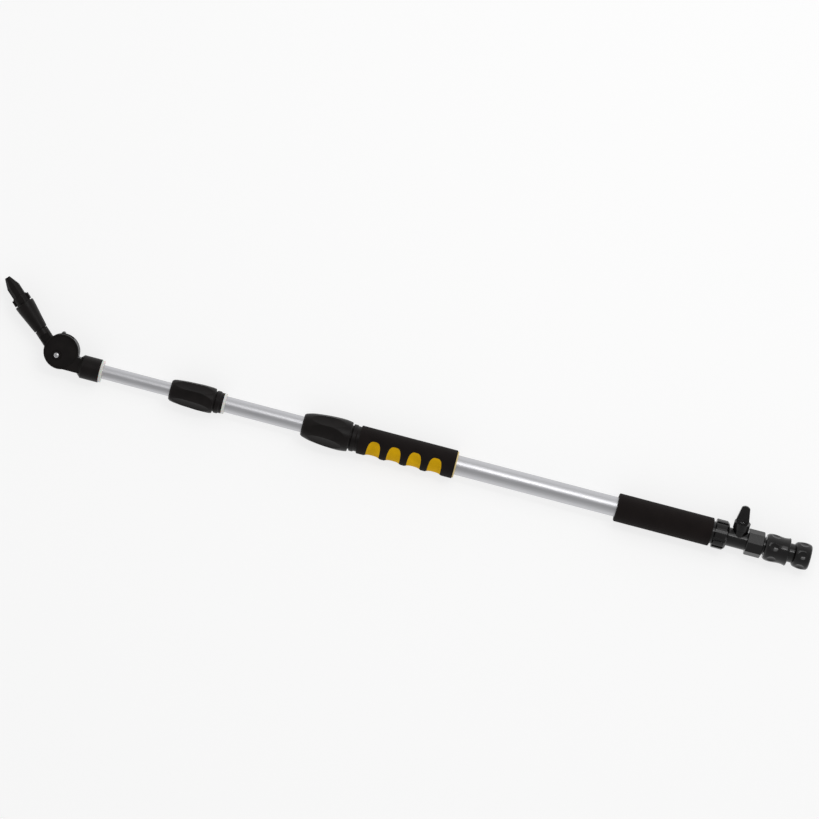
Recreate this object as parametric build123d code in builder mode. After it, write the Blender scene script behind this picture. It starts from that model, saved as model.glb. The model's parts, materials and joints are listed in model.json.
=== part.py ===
"""Telescopic hose-fed cleaning lance: nozzle head, three tubes, two twist locks, valve, connector.

X runs along the pole from the hose mouth (x = 0) to the nozzle end, +Z is up as the lance lies
flat, and the head folds towards -Y. Every station is a distance in mm from the hose mouth.
"""

from build123d import *
from math import cos, radians, sin, sqrt
import os

# ---------------------------------------------------------------- driving dimensions, mm
running_fit = 0.08  # radial clearance of a turning or sliding fit
free_gap = 0.4  # clearance between bodies that never guide each other

# tubes
outer_tube_r = 12.5
outer_tube_wall = 1.2
middle_tube_r = 10.2
middle_tube_wall = 0.9
inner_tube_r = 8.8
inner_tube_wall = 0.9
outer_tube_exposed = 209.0  # bare tube between the two grips
middle_tube_exposed = 103.0  # bare tube between the two locks
inner_tube_exposed = 91.0  # bare tube between inner lock and head
middle_retract = 95.0
crimp_behind_lock = 22.0
crimp_width = 0.9
crimp_depth = 0.2
inner_retract = 82.0
tube_end_gap = 3.0  # left between tube ends when fully retracted
seal_section_r = 1.0  # O-ring cord radius

# hose connector
hose_nut_length = 21.0
hose_nut_r = 17.0
hose_mouth_r = 9.6
hose_mouth_length = 4.0
hose_bore_r = 6.25  # the barb, for hose of half an inch bore
neck_length = 7.0
connector_r = 12.0
connector_bore_r = 5.0
sleeve_length = 30.0
sleeve_r = 17.5
sleeve_travel = 4.5
nipple_r = 8.0
thumb_dimple_count = 6
thumb_dimple_r = 16.0
thumb_dimple_depth = 1.6
release_wire_r = 0.6
claw_count = 3

# adaptor and valve
octagon_length = 21.5
octagon_flats = 31.0
valve_pipe_r = 11.8
valve_pipe_length = 24.0
valve_bore_r = 5.0
valve_hub_offset = 10.5  # stem axis in front of the octagon
valve_boss_r = 9.6
valve_boss_top = 14.2
boss_fillet = 1.0
valve_tilt = 19.0  # degrees that the stem axis rises above the horizontal
ball_r = 8.0
stem_r = 3.0
lever_hub_r = 10.3
lever_hub_top = 23.6
paddle_rise = 19.0
paddle_lean = 15.0  # degrees
paddle_thickness = 5.5
paddle_tip_width = 10.4

# coupling
coupling_length = 17.5
coupling_r = 18.5
coupling_rib_count = 10
fitting_thread_r = 13.1
fitting_flange_r = 14.3
fitting_flange_length = 2.5
fitting_plug_length = 20.0

# foam grips
grip_r = 18.0
rear_grip_length = 123.0
front_grip_length = 124.0
grip_core_r = 15.9
core_lip = 1.6  # the core stands this far out of the cover at the rear end
finger_count = 4
finger_pitch = 26.4
finger_first = 20.8  # first scallop from the grip's front end
finger_width = 17.5
finger_depth = 4.6
finger_tilt = 35.0  # degrees that the scallops rise above the horizontal

# twist locks
outer_lock_collar_length = 10.0
outer_lock_collar_r = 17.2
outer_lock_length = 61.5
outer_lock_rear_r = 18.9
outer_lock_mid_r = 20.6
outer_lock_front_r = 14.6
inner_lock_collar_length = 10.0
inner_lock_collar_r = 14.2
inner_lock_length = 56.5
inner_lock_rear_r = 15.9
inner_lock_mid_r = 17.3
inner_lock_front_r = 13.5
lock_gap = 1.5
lock_panel_count = 8
lock_panel_depth = 2.0  # below the barrel at its widest
lock_panel_hollow = 2.6  # radius of a panel's hollow against that of the barrel
lock_bulge_place = 0.42  # the widest place, as a share of the nut's length
lock_thread_wall = 2.6
lock_tube_seat = 8.0  # tube length held in the collar's front part
collet_wall = 2.9
collet_length = 18.0
nylon_ring_length = 3.2

# head
socket_r = 14.75
socket_length = 28.0
socket_seat_length = 18.0
socket_bore_r = 4.0
pivot_ahead = 28.9  # pivot in front of the socket's front rim
pivot_side = 6.5  # pivot beside the pole axis
ear_r = 22.0
ear_shift_x = 4.3  # ear centre behind the pivot
ear_shift_y = 5.5  # ear centre beyond the pivot
ear_thickness = 4.2
knuckle_r = 14.0
knuckle_thickness = 11.6
bolt_r = 2.5
boss_r = 6.0
rest_bend = 42.5  # degrees between the pole and the nozzle arm at rest
fold_on = 62.5  # degrees that the arm folds on from rest
stem_arm_r = 8.25
stem_arm_reach = 37.5
stem_flat_reach = 30.0
barrel_reach = 76.5
barrel_rear_r = 8.75
barrel_front_r = 12.5
lug_collar_reach = 87.0
lug_collar_r = 9.3
lug_r = 11.2
tip_body_reach = 101.0
tip_width = 16.0
tip_reach = 114.7
tip_end_width = 6.3
arm_bore_r = 4.0
clamp_lever_reach = 29.0

# ---------------------------------------------------------------- stations worked out from them
neck_x = hose_nut_length
sleeve_x = neck_x + neck_length
octagon_x = sleeve_x + sleeve_length + 3.0
valve_x = octagon_x + octagon_length
valve_front = valve_x + valve_pipe_length
hub_x = valve_x + valve_hub_offset
coupling_x = valve_front + 0.5
fitting_flange_x = coupling_x + coupling_length
outer_tube_x = fitting_flange_x + fitting_flange_length
rear_grip_front = outer_tube_x + rear_grip_length
front_grip_x = rear_grip_front + outer_tube_exposed
front_grip_front = front_grip_x + front_grip_length
outer_lock_x = front_grip_front
outer_nut_x = outer_lock_x + outer_lock_collar_length + lock_gap
outer_nut_front = outer_nut_x + outer_lock_length
inner_lock_x = outer_nut_front + middle_tube_exposed
inner_nut_x = inner_lock_x + inner_lock_collar_length + lock_gap
inner_nut_front = inner_nut_x + inner_lock_length
socket_x = inner_nut_front + inner_tube_exposed
socket_front = socket_x + socket_length
pivot = Vector(socket_front + pivot_ahead, -pivot_side, 0)
ear_centre = Vector(pivot.X - ear_shift_x, pivot.Y - ear_shift_y, 0)

outer_bore_r = outer_tube_r - outer_tube_wall
middle_bore_r = middle_tube_r - middle_tube_wall
inner_bore_r = inner_tube_r - inner_tube_wall
bush_flange = 8.0
bush_plug = 12.0
middle_tube_x = outer_tube_x + fitting_plug_length + tube_end_gap + middle_retract + bush_flange
inner_tube_x = middle_tube_x + bush_plug + tube_end_gap + inner_retract + bush_flange
outer_tube_front = outer_lock_x + outer_lock_collar_length + lock_tube_seat
middle_tube_front = inner_lock_x + inner_lock_collar_length + lock_tube_seat
inner_tube_front = socket_x + socket_seat_length

# ---------------------------------------------------------------- planes and axes
# local z of the valve plane is the stem axis, local y points up past it
valve_plane = Plane(
    origin=(hub_x, 0, 0),
    x_dir=(1, 0, 0),
    z_dir=(0, -cos(radians(valve_tilt)), sin(radians(valve_tilt))),
)
stem_axis = Axis(valve_plane.origin, valve_plane.z_dir)
arm_dir = Vector(cos(radians(rest_bend)), -sin(radians(rest_bend)), 0)
arm_plane = Plane(origin=pivot, x_dir=arm_dir, z_dir=(0, 0, 1))
arm_axis = Axis(pivot, arm_dir)
pivot_plane = Plane(origin=pivot, x_dir=(1, 0, 0), z_dir=(0, 0, 1))
pivot_axis = Axis(pivot, (0, 0, 1))


# ---------------------------------------------------------------- helpers
def half_section(*corners, plane=Plane.XY):
    """Closed half-section of a turned piece, from (station, radius) corners."""
    with BuildSketch(plane) as section:
        with BuildLine():
            Polyline(*corners, close=True)
        make_face()
    return section.sketch


def turned_ring(x_start, x_end, r_inner, r_outer, plane=Plane.XY):
    """Half-section of a plain ring or tube."""
    return half_section(
        (x_start, r_inner), (x_end, r_inner), (x_end, r_outer), (x_start, r_outer), plane=plane
    )


def cord_section(x_centre, r_centre, r_cord, plane=Plane.XY):
    """Section of an O-ring whose cord centre runs at r_centre."""
    with BuildSketch(plane) as section:
        with Locations((x_centre, r_centre)):
            Circle(r_cord)
    return section.sketch


def across(x):
    """Plane square to the pole at station x, its local x level and its local y up."""
    return Plane(origin=(x, 0, 0), x_dir=(0, 1, 0), z_dir=(1, 0, 0))


def square_to_arm(reach):
    """Plane square to the nozzle arm at that reach from the pivot."""
    return Plane(
        origin=arm_plane.from_local_coords((reach, 0, 0)), x_dir=(0, 0, 1), z_dir=arm_dir
    )


# ---------------------------------------------------------------- hose nut, clamp ring
skirt_x = 10.0
skirt_r = 12.6
skirt_bore_r = 10.6

with BuildPart() as hose_nut:
    with BuildSketch(Plane.XY):
        with BuildLine():
            barrel = ThreePointArc(
                (1.6, hose_nut_r - 0.9),
                (hose_nut_length * 0.5, hose_nut_r),
                (hose_nut_length - 1.8, hose_nut_r - 1.6),
            )
            Polyline(
                barrel @ 1,
                (hose_nut_length, hose_nut_r - 3.4),
                (hose_nut_length, skirt_r + running_fit),
                (skirt_x - 1.0, skirt_r + running_fit),
                (hose_mouth_length, hose_mouth_r),
                (0, hose_mouth_r),
                (0, hose_nut_r - 2.4),
                barrel @ 0,
            )
        make_face()
    revolve(axis=Axis.X)
    # thumb dimples round the barrel
    with Locations(across(hose_nut_length * 0.52)):
        with PolarLocations(
            hose_nut_r + thumb_dimple_r - thumb_dimple_depth, thumb_dimple_count, start_angle=37
        ):
            Sphere(thumb_dimple_r, mode=Mode.SUBTRACT)
hose_nut.part.label = "hose_nut"

with BuildPart() as hose_clamp_ring:
    revolve(
        half_section(
            (hose_mouth_length + 1.4, hose_mouth_r - 0.6),
            (skirt_x + 8.0, hose_mouth_r - 0.6),
            (skirt_x + 8.0, skirt_bore_r),
            (skirt_x, skirt_bore_r),
            (hose_mouth_length + 1.4, hose_mouth_r + 0.2),
        ),
        axis=Axis.X,
    )
    # slots between the clamping fingers
    with Locations(across(hose_mouth_length + 6.0)):
        with PolarLocations(hose_mouth_r, 6):
            Box(6.0, 1.4, 10.0, mode=Mode.SUBTRACT)
hose_clamp_ring.part.label = "hose_clamp_ring"

# ---------------------------------------------------------------- connector body
flange_x = sleeve_x + 3.0
flange_length = 2.0
flange_r = 14.4
pocket_r = 15.0
connector_front = octagon_x - 3.4
nipple_tail_x = neck_x + 13.0
barb_x = hose_mouth_length + 1.4
claw_x = octagon_x - 11.0
claw_length = 2.4

with BuildPart() as connector_body:
    revolve(
        half_section(
            (barb_x, connector_bore_r - 0.6),
            (nipple_tail_x, connector_bore_r - 0.6),
            (nipple_tail_x, nipple_r + running_fit),
            (connector_front, nipple_r + running_fit),
            (connector_front, connector_r),
            (flange_x + flange_length, connector_r),
            (flange_x + flange_length, flange_r),
            (flange_x, flange_r),
            (flange_x, connector_r),
            (neck_x + 0.6, connector_r),
            (neck_x + 0.6, skirt_r),
            (skirt_x, skirt_r),
            (skirt_x, skirt_bore_r),
            (neck_x - 3.0, skirt_bore_r),
            (neck_x - 3.0, hose_bore_r),
            (barb_x + 6.0, hose_bore_r),
            (barb_x + 6.0, hose_bore_r + 0.5),
            (barb_x + 2.0, hose_bore_r),
            (barb_x, hose_bore_r - 0.5),
        ),
        axis=Axis.X,
    )
    # windows for the locking claws
    with Locations(across(claw_x)):
        with PolarLocations(connector_r - 2.0, claw_count, start_angle=30):
            Box(8.0, 7.0, claw_length + 0.4, mode=Mode.SUBTRACT)
connector_body.part.label = "connector_body"

with BuildPart() as locking_claws:
    with Locations(across(claw_x)):
        with PolarLocations((connector_r + nipple_r) / 2 - 0.5, claw_count, start_angle=30):
            Box(connector_r - nipple_r - 0.4, 6.6, claw_length)
locking_claws.part.label = "locking_claws"

# ---------------------------------------------------------------- release sleeve and spring
pocket_end = sleeve_x + 22.0

with BuildPart() as release_sleeve:
    with BuildSketch(Plane.XY):
        with BuildLine():
            outside = Spline(
                (sleeve_x + 0.8, sleeve_r + 0.3),
                (sleeve_x + 7.0, sleeve_r - 0.9),
                (sleeve_x + 18.0, sleeve_r - 0.1),
                (sleeve_x + sleeve_length - 2.0, sleeve_r - 1.0),
            )
            Polyline(
                outside @ 1,
                (sleeve_x + sleeve_length, sleeve_r - 2.6),
                (sleeve_x + sleeve_length, connector_r + running_fit),
                (pocket_end, connector_r + running_fit),
                (pocket_end, pocket_r),
                (sleeve_x, pocket_r),
                (sleeve_x, sleeve_r - 0.5),
                outside @ 0,
            )
        make_face()
    revolve(axis=Axis.X)
    # round thumb dimples
    with Locations(across(sleeve_x + sleeve_length * 0.62)):
        with PolarLocations(
            sleeve_r + thumb_dimple_r - thumb_dimple_depth, thumb_dimple_count, start_angle=41
        ):
            Sphere(thumb_dimple_r, mode=Mode.SUBTRACT)
    # relief that the claws spread into when the sleeve is drawn back
    with Locations(Location((claw_x + 4.4, 0, 0), (0, 90, 0))):
        Cylinder(connector_r + 1.0, 2.2, mode=Mode.SUBTRACT)
release_sleeve.part.label = "release_sleeve"

spring_start = flange_x + flange_length + release_wire_r
spring_length = pocket_end - spring_start - release_wire_r
spring_r = (connector_r + pocket_r) / 2

with BuildPart() as release_spring:
    with BuildLine():
        coil = Helix(
            pitch=spring_length / 5,
            height=spring_length,
            radius=spring_r,
            center=(spring_start, 0, 0),
            direction=(1, 0, 0),
        )
    with BuildSketch(Plane(origin=coil @ 0, z_dir=coil % 0)):
        Circle(release_wire_r)
    sweep()
release_spring.part.label = "release_spring"

# ---------------------------------------------------------------- adaptor with male nipple
spigot_r = 10.4
spigot_length = 14.0
nipple_seal_x = nipple_tail_x + 7.0
nipple_groove_r = nipple_r - 1.6
washer_length = 1.5

with BuildPart() as hose_adaptor:
    with BuildSketch(across(octagon_x)):
        RegularPolygon(octagon_flats / 2, 8, major_radius=False, rotation=22.5 - valve_tilt)
    extrude(amount=octagon_length - 0.6)
    chamfer(edges().group_by(Axis.X)[0] + edges().group_by(Axis.X)[-1], 0.8)
    revolve(
        half_section(
            (nipple_tail_x + 0.6, 0),
            (octagon_x + 1.0, 0),
            (octagon_x + 1.0, nipple_r + 3.0),
            (connector_front + 1.0, nipple_r + 3.0),
            (connector_front + 1.0, nipple_r),
            (claw_x + claw_length / 2 + 0.6, nipple_r),
            (claw_x + claw_length / 2 + 0.6, nipple_r - 1.1),
            (claw_x - claw_length / 2 - 0.6, nipple_r - 1.1),
            (claw_x - claw_length / 2 - 1.6, nipple_r),
            (nipple_seal_x + 2.4, nipple_r),
            (nipple_seal_x + 2.4, nipple_groove_r),
            (nipple_seal_x, nipple_groove_r),
            (nipple_seal_x, nipple_r),
            (nipple_tail_x + 1.6, nipple_r),
            (nipple_tail_x + 0.6, nipple_r - 1.0),
        ),
        axis=Axis.X,
    )
    revolve(
        half_section(
            (nipple_tail_x, 0),
            (valve_x, 0),
            (valve_x, spigot_r),
            (valve_x - spigot_length - washer_length, spigot_r),
            (valve_x - spigot_length - washer_length, connector_bore_r),
            (nipple_tail_x, connector_bore_r),
        ),
        axis=Axis.X,
        mode=Mode.SUBTRACT,
    )
hose_adaptor.part.label = "hose_adaptor"

nipple_cord_r = (nipple_r - nipple_groove_r) / 2
with BuildPart() as nipple_seal:
    revolve(
        cord_section(nipple_seal_x + 1.2, nipple_groove_r + nipple_cord_r, nipple_cord_r),
        axis=Axis.X,
    )
nipple_seal.part.label = "nipple_seal"

with BuildPart() as adaptor_washer:
    revolve(
        turned_ring(
            valve_x - spigot_length - washer_length,
            valve_x - spigot_length,
            connector_bore_r + 1.0,
            spigot_r - 0.2,
        ),
        axis=Axis.X,
    )
adaptor_washer.part.label = "adaptor_washer"

# ---------------------------------------------------------------- valve body
cavity_r = 8.6
seat_length = 2.0
seat_offset = 6.2
seat_bore_r = 5.2
union_lip = 2.4
union_flange_r = 12.6
union_flange_length = 2.4
valve_neck_r = 10.6
stem_flange_r = 4.5
stem_flange_h = 8.9
stem_flange_length = 1.4
seal_h = 11.2
stem_seal_cord_r = 0.6

union_flange_x = coupling_x + union_lip + 0.2
valve_head = union_flange_x + union_flange_length
cavity_end = hub_x + seat_offset + seat_length

with BuildPart() as valve_body:
    revolve(
        half_section(
            (valve_x - spigot_length, 0),
            (valve_head, 0),
            (valve_head, union_flange_r),
            (union_flange_x, union_flange_r),
            (union_flange_x, valve_neck_r),
            (valve_front, valve_neck_r),
            (valve_front, valve_pipe_r),
            (valve_x, valve_pipe_r),
            (valve_x, spigot_r),
            (valve_x - spigot_length, spigot_r),
        ),
        axis=Axis.X,
    )
    with BuildSketch(valve_plane):
        Circle(valve_boss_r)
    extrude(amount=valve_boss_top)
    boss_root = edges().filter_by(lambda e: e.geom_type not in (GeomType.CIRCLE, GeomType.LINE))
    fillet(boss_root, boss_fillet)
    # ball cavity, water way and stem bore
    revolve(
        half_section(
            (valve_x - spigot_length, 0),
            (valve_head, 0),
            (valve_head, valve_bore_r),
            (cavity_end, valve_bore_r),
            (cavity_end, cavity_r),
            (valve_x - spigot_length, cavity_r),
        ),
        axis=Axis.X,
        mode=Mode.SUBTRACT,
    )
    with BuildSketch(valve_plane):
        Circle(stem_flange_r + 0.2)
    extrude(amount=stem_flange_h + stem_flange_length + 0.1, mode=Mode.SUBTRACT)
    with BuildSketch(valve_plane):
        Circle(stem_r + running_fit)
    extrude(amount=valve_boss_top, mode=Mode.SUBTRACT)
valve_body.part.label = "valve_body"

with BuildPart() as ball_seats:
    for seat_x in (hub_x + seat_offset, hub_x - seat_offset - seat_length):
        revolve(turned_ring(seat_x, seat_x + seat_length, seat_bore_r, cavity_r), axis=Axis.X)
ball_seats.part.label = "ball_seats"

with BuildPart() as seat_retainer:
    revolve(
        turned_ring(
            valve_x - spigot_length + 1.0,
            hub_x - seat_offset - seat_length,
            seat_bore_r + 0.6,
            cavity_r,
        ),
        axis=Axis.X,
    )
seat_retainer.part.label = "seat_retainer"

# ---------------------------------------------------------------- ball, stem, lever
key_width = 2.8
key_depth = 2.6

with BuildPart() as valve_ball:
    with Locations(Location((hub_x, 0, 0))):
        Sphere(ball_r)
    # the way through stands across the pipe while the lever is closed
    with BuildSketch(Plane(origin=valve_plane.origin, x_dir=(1, 0, 0), z_dir=valve_plane.y_dir)):
        Circle(valve_bore_r - 0.6)
    extrude(amount=ball_r, both=True, mode=Mode.SUBTRACT)
    with BuildSketch(valve_plane.offset(ball_r - key_depth)):
        Rectangle(ball_r * 2, key_width)
    extrude(amount=key_depth, mode=Mode.SUBTRACT)
valve_ball.part.label = "valve_ball"

lever_hub_base = valve_boss_top + free_gap
socket_top = lever_hub_top - 3.6

with BuildPart() as valve_stem:
    with BuildSketch(valve_plane.offset(ball_r)):
        Circle(stem_r)
    extrude(amount=socket_top - ball_r)
    with BuildSketch(valve_plane.offset(ball_r - key_depth + 0.1)):
        Rectangle(stem_r * 2, key_width - 0.1)
    extrude(amount=key_depth)
    with BuildSketch(valve_plane.offset(stem_flange_h)):
        Circle(stem_flange_r)
    extrude(amount=stem_flange_length)
    # O-ring groove
    with BuildSketch(valve_plane.offset(seal_h)):
        Circle(stem_r)
        Circle(stem_r - 2 * stem_seal_cord_r, mode=Mode.SUBTRACT)
    extrude(amount=2 * stem_seal_cord_r + 0.2, mode=Mode.SUBTRACT)
    # thread hole for the lever screw
    with BuildSketch(valve_plane.offset(socket_top)):
        Circle(1.2)
    extrude(amount=-6.0, mode=Mode.SUBTRACT)
valve_stem.part.label = "valve_stem"

stem_section_plane = Plane(
    origin=valve_plane.origin, x_dir=(1, 0, 0), z_dir=-valve_plane.y_dir
)
with BuildPart() as stem_seal:
    revolve(
        cord_section(
            stem_r - stem_seal_cord_r,
            seal_h + stem_seal_cord_r + 0.1,
            stem_seal_cord_r,
            plane=stem_section_plane,
        ),
        axis=stem_axis,
    )
stem_seal.part.label = "stem_seal"

lean = radians(paddle_lean)
paddle_front = 3.9  # the paddle's face behind the stem axis
paddle_root = lever_hub_top - 4.0
paddle_up = valve_plane.z_dir * cos(lean) - valve_plane.y_dir * sin(lean)
paddle_back = -valve_plane.y_dir * cos(lean) - valve_plane.z_dir * sin(lean)
paddle_plane = Plane(
    origin=valve_plane.from_local_coords((0, -paddle_front, paddle_root)),
    x_dir=(1, 0, 0),
    z_dir=paddle_back,
)
paddle_length = paddle_rise + lever_hub_top - paddle_root
rib_count = 7
rib_pitch = 1.7

with BuildPart() as valve_lever:
    with BuildSketch(valve_plane.offset(lever_hub_base)):
        Circle(lever_hub_r)
    extrude(amount=lever_hub_top - lever_hub_base)
    # paddle, tapering to a rounded tip
    with BuildSketch(paddle_plane):
        with BuildLine():
            root_half = sqrt(lever_hub_r**2 - (paddle_front + 1.0) ** 2)
            tip_half = paddle_tip_width / 2
            tip_base = paddle_length - 2.2
            tip = ThreePointArc((tip_half, tip_base), (0, paddle_length), (-tip_half, tip_base))
            Polyline(tip @ 1, (-root_half, 0), (root_half, 0), tip @ 0)
        make_face()
    extrude(amount=paddle_thickness)
    fillet(edges().sort_by(Axis(valve_plane.origin, paddle_up))[-4:], 0.8)
    # grip ridges low on the paddle's face
    with BuildSketch(paddle_plane):
        with Locations((0, 9.5)):
            with GridLocations(rib_pitch, 1, rib_count, 1):
                Rectangle(0.7, 8.0)
    extrude(amount=0.35, mode=Mode.SUBTRACT)
    # stem socket, screw recess and the two small pips beside it
    with BuildSketch(valve_plane.offset(lever_hub_base)):
        Circle(stem_r)
    extrude(amount=socket_top - lever_hub_base, mode=Mode.SUBTRACT)
    with BuildSketch(valve_plane.offset(lever_hub_top - 2.0)):
        Circle(2.9)
    extrude(amount=2.0, mode=Mode.SUBTRACT)
    with BuildSketch(valve_plane.offset(socket_top)):
        Circle(1.3)
    extrude(amount=3.0, mode=Mode.SUBTRACT)
    with BuildSketch(valve_plane.offset(lever_hub_top)):
        with GridLocations(11.6, 1, 2, 1):
            Circle(0.9)
    extrude(amount=-0.6, mode=Mode.SUBTRACT)
valve_lever.part.label = "valve_lever"

with BuildPart() as lever_screw:
    with BuildSketch(valve_plane.offset(lever_hub_top - 2.0)):
        Circle(2.7)
    extrude(amount=1.5)
    with BuildSketch(valve_plane.offset(socket_top - 5.0)):
        Circle(1.2)
    extrude(amount=lever_hub_top - 2.0 - socket_top + 5.0)
    with BuildSketch(valve_plane.offset(lever_hub_top - 0.5)):
        Rectangle(6.0, 1.0)
    extrude(amount=-0.8, mode=Mode.SUBTRACT)
lever_screw.part.label = "lever_screw"

# ---------------------------------------------------------------- coupling nut, tail fitting
face_seal_length = 1.8
fitting_tail = valve_head + face_seal_length
rib_depth = 1.5

with BuildPart() as coupling_nut:
    revolve(
        half_section(
            (coupling_x, valve_neck_r + 0.5),
            (coupling_x + union_lip, valve_neck_r + 0.5),
            (coupling_x + union_lip, fitting_thread_r + running_fit),
            (fitting_flange_x - 0.3, fitting_thread_r + running_fit),
            (fitting_flange_x - 0.3, coupling_r - 1.4),
            (fitting_flange_x - 1.3, coupling_r),
            (coupling_x + 3.0, coupling_r),
            (coupling_x, coupling_r - 2.8),
        ),
        axis=Axis.X,
    )
    # grooves between the flat grip ribs
    with Locations(across(coupling_x + coupling_length / 2 + 1.5)):
        with PolarLocations(coupling_r, coupling_rib_count):
            Box(2 * rib_depth, 4.2, coupling_length, mode=Mode.SUBTRACT)
coupling_nut.part.label = "coupling_nut"

with BuildPart() as coupling_washer:
    revolve(
        turned_ring(valve_head, fitting_tail, valve_bore_r + 1.0, union_flange_r - 0.4),
        axis=Axis.X,
    )
coupling_washer.part.label = "coupling_washer"

plug_front = outer_tube_x + fitting_plug_length
plug_seal_x = plug_front - 8.0
plug_groove_r = outer_bore_r - 2 * seal_section_r

with BuildPart() as tail_fitting:
    revolve(
        half_section(
            (fitting_tail, 7.0),
            (plug_front, 7.0),
            (plug_front, outer_bore_r - 1.0),
            (plug_front - 1.0, outer_bore_r),
            (plug_seal_x + 2.4, outer_bore_r),
            (plug_seal_x + 2.4, plug_groove_r),
            (plug_seal_x, plug_groove_r),
            (plug_seal_x, outer_bore_r),
            (outer_tube_x, outer_bore_r),
            (outer_tube_x, fitting_flange_r),
            (fitting_flange_x, fitting_flange_r),
            (fitting_flange_x, fitting_thread_r),
            (fitting_tail + 0.8, fitting_thread_r),
            (fitting_tail, fitting_thread_r - 0.8),
        ),
        axis=Axis.X,
    )
tail_fitting.part.label = "tail_fitting"

with BuildPart() as tail_seal:
    revolve(
        cord_section(plug_seal_x + 1.2, outer_bore_r - seal_section_r, seal_section_r),
        axis=Axis.X,
    )
tail_seal.part.label = "tail_seal"

# ---------------------------------------------------------------- tubes with guide bushes
with BuildPart() as outer_tube:
    revolve(turned_ring(outer_tube_x, outer_tube_front, outer_bore_r, outer_tube_r), axis=Axis.X)
outer_tube.part.label = "outer_tube"

with BuildPart() as middle_tube:
    revolve(
        turned_ring(middle_tube_x, middle_tube_front, middle_bore_r, middle_tube_r), axis=Axis.X
    )
    # fine rolled line that marks the safe pull-out
    revolve(
        turned_ring(
            inner_lock_x - crimp_behind_lock,
            inner_lock_x - crimp_behind_lock + crimp_width,
            middle_tube_r - crimp_depth,
            middle_tube_r + crimp_depth,
        ),
        axis=Axis.X,
        mode=Mode.SUBTRACT,
    )
middle_tube.part.label = "middle_tube"

with BuildPart() as inner_tube:
    revolve(turned_ring(inner_tube_x, inner_tube_front, inner_bore_r, inner_tube_r), axis=Axis.X)
inner_tube.part.label = "inner_tube"


def bush_section(tube_x, slide_r, plug_r, bore_r):
    """Half-section of a guide bush: plug inside one tube, flange sliding in the next."""
    groove_x = tube_x - bush_flange + 2.4
    groove_r = slide_r - running_fit - 2 * seal_section_r
    return half_section(
        (tube_x - bush_flange, bore_r),
        (tube_x + bush_plug, bore_r),
        (tube_x + bush_plug, plug_r),
        (tube_x, plug_r),
        (tube_x, slide_r - running_fit),
        (groove_x + 2.4, slide_r - running_fit),
        (groove_x + 2.4, groove_r),
        (groove_x, groove_r),
        (groove_x, slide_r - running_fit),
        (tube_x - bush_flange, slide_r - running_fit),
    )


def bush_seal_section(tube_x, slide_r):
    """Section of the O-ring that fills a guide bush's groove."""
    return cord_section(
        tube_x - bush_flange + 3.6, slide_r - running_fit - seal_section_r, seal_section_r
    )


with BuildPart() as middle_bush:
    revolve(bush_section(middle_tube_x, outer_bore_r, middle_bore_r, 6.0), axis=Axis.X)
middle_bush.part.label = "middle_bush"

with BuildPart() as middle_bush_seal:
    revolve(bush_seal_section(middle_tube_x, outer_bore_r), axis=Axis.X)
middle_bush_seal.part.label = "middle_bush_seal"

with BuildPart() as inner_bush:
    revolve(bush_section(inner_tube_x, middle_bore_r, inner_bore_r, 5.0), axis=Axis.X)
inner_bush.part.label = "inner_bush"

with BuildPart() as inner_bush_seal:
    revolve(bush_seal_section(inner_tube_x, middle_bore_r), axis=Axis.X)
inner_bush_seal.part.label = "inner_bush_seal"

# ---------------------------------------------------------------- foam grips
with BuildPart() as rear_grip:
    revolve(
        turned_ring(outer_tube_x + 0.2, rear_grip_front, outer_tube_r, grip_r), axis=Axis.X
    )
    fillet(edges().filter_by(GeomType.CIRCLE).filter_by(lambda e: e.radius > outer_tube_r + 1), 1.0)
rear_grip.part.label = "rear_grip"

with BuildPart() as front_grip_core:
    revolve(
        turned_ring(front_grip_x - core_lip, front_grip_front, outer_tube_r, grip_core_r),
        axis=Axis.X,
    )
front_grip_core.part.label = "front_grip_core"

# the scallops face +Y and tip up by finger_tilt
finger_plane = Plane(
    origin=(0, 0, 0),
    x_dir=(1, 0, 0),
    z_dir=(0, cos(radians(finger_tilt)), sin(radians(finger_tilt))),
)
with BuildPart() as front_grip_cover:
    revolve(turned_ring(front_grip_x, front_grip_front, grip_core_r, grip_r), axis=Axis.X)
    with BuildSketch(finger_plane.offset(grip_core_r - finger_depth + 0.6)):
        for finger in range(finger_count):
            with Locations((front_grip_front - finger_first - finger * finger_pitch, 0)):
                Ellipse(finger_width / 2, grip_core_r - 3.0)
    extrude(amount=grip_r, mode=Mode.SUBTRACT)
front_grip_cover.part.label = "front_grip_cover"


# ---------------------------------------------------------------- twist locks
class LockSizes:
    """Sizes of one twist lock, worked out from the two tubes that it joins."""

    def __init__(self, x, collar_length, collar_r, nut_length, radii, big_r, small_r):
        self.x = x
        self.collar_r = collar_r
        self.thread_x = x + collar_length
        self.nut_x = self.thread_x + lock_gap
        self.nut_front = self.nut_x + nut_length
        self.rear_r, self.mid_r, self.front_r = radii
        self.big_r = big_r
        self.small_r = small_r
        self.thread_r = big_r + lock_thread_wall
        self.shoulder_x = self.thread_x + lock_tube_seat
        self.collet_x = self.nut_front - collet_length - 8.5
        self.collet_front = self.collet_x + collet_length
        self.collet_r = small_r + collet_wall
        self.wiper_x = self.nut_front - 3.4


outer_lock = LockSizes(
    outer_lock_x,
    outer_lock_collar_length,
    outer_lock_collar_r,
    outer_lock_length,
    (outer_lock_rear_r, outer_lock_mid_r, outer_lock_front_r),
    outer_tube_r,
    middle_tube_r,
)
inner_lock = LockSizes(
    inner_lock_x,
    inner_lock_collar_length,
    inner_lock_collar_r,
    inner_lock_length,
    (inner_lock_rear_r, inner_lock_mid_r, inner_lock_front_r),
    middle_tube_r,
    inner_tube_r,
)


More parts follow.
